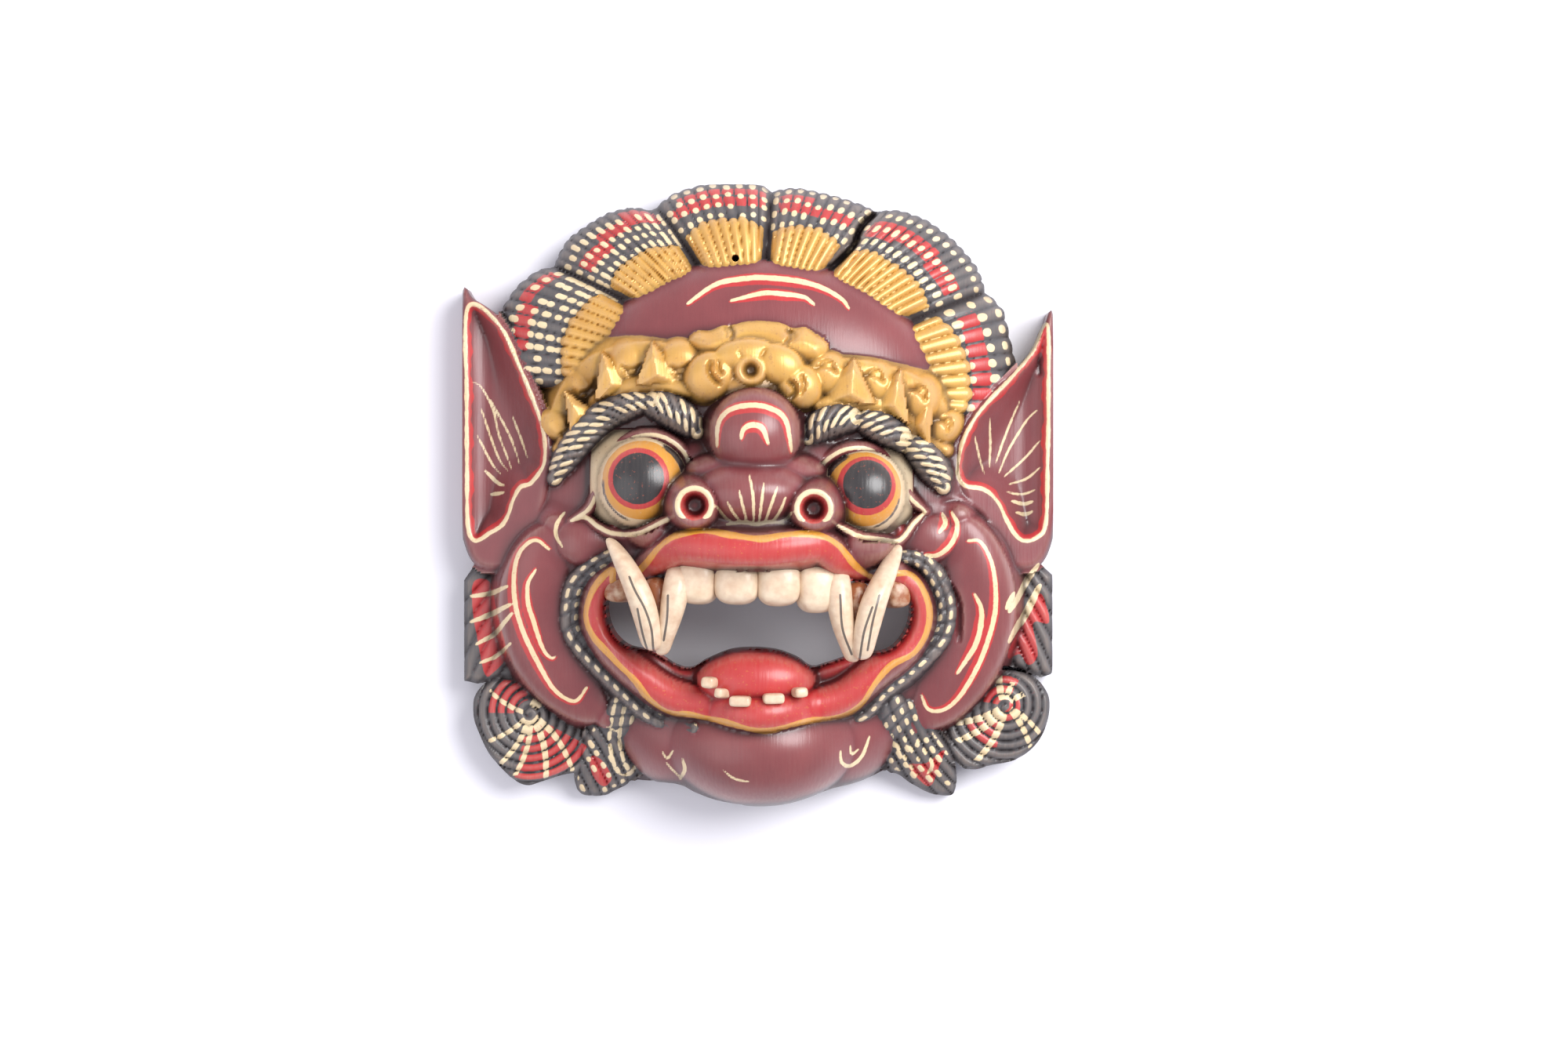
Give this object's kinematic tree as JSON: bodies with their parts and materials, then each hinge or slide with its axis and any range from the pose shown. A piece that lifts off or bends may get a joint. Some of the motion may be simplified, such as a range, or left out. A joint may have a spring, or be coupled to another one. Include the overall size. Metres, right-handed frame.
{
  "type": "carved wall mask",
  "caption": "Carved and painted wooden guardian mask with fluted crest, pointed ears, round eyes and an open tusked mouth, hollow behind.",
  "frame": {"origin": "middle of the mask's outline, on the flat rim of its back", "axes": "+Z out of the face, +Y to the top of the crest, +X to the viewer's right"},
  "size_m": [0.266, 0.2796, 0.0977],
  "materials": {
    "painted_wood": "hand-painted and varnished carved wood, worn"
  },
  "bodies": {
    "root": {"mask": "painted_wood"}
  },
  "joints": []
}
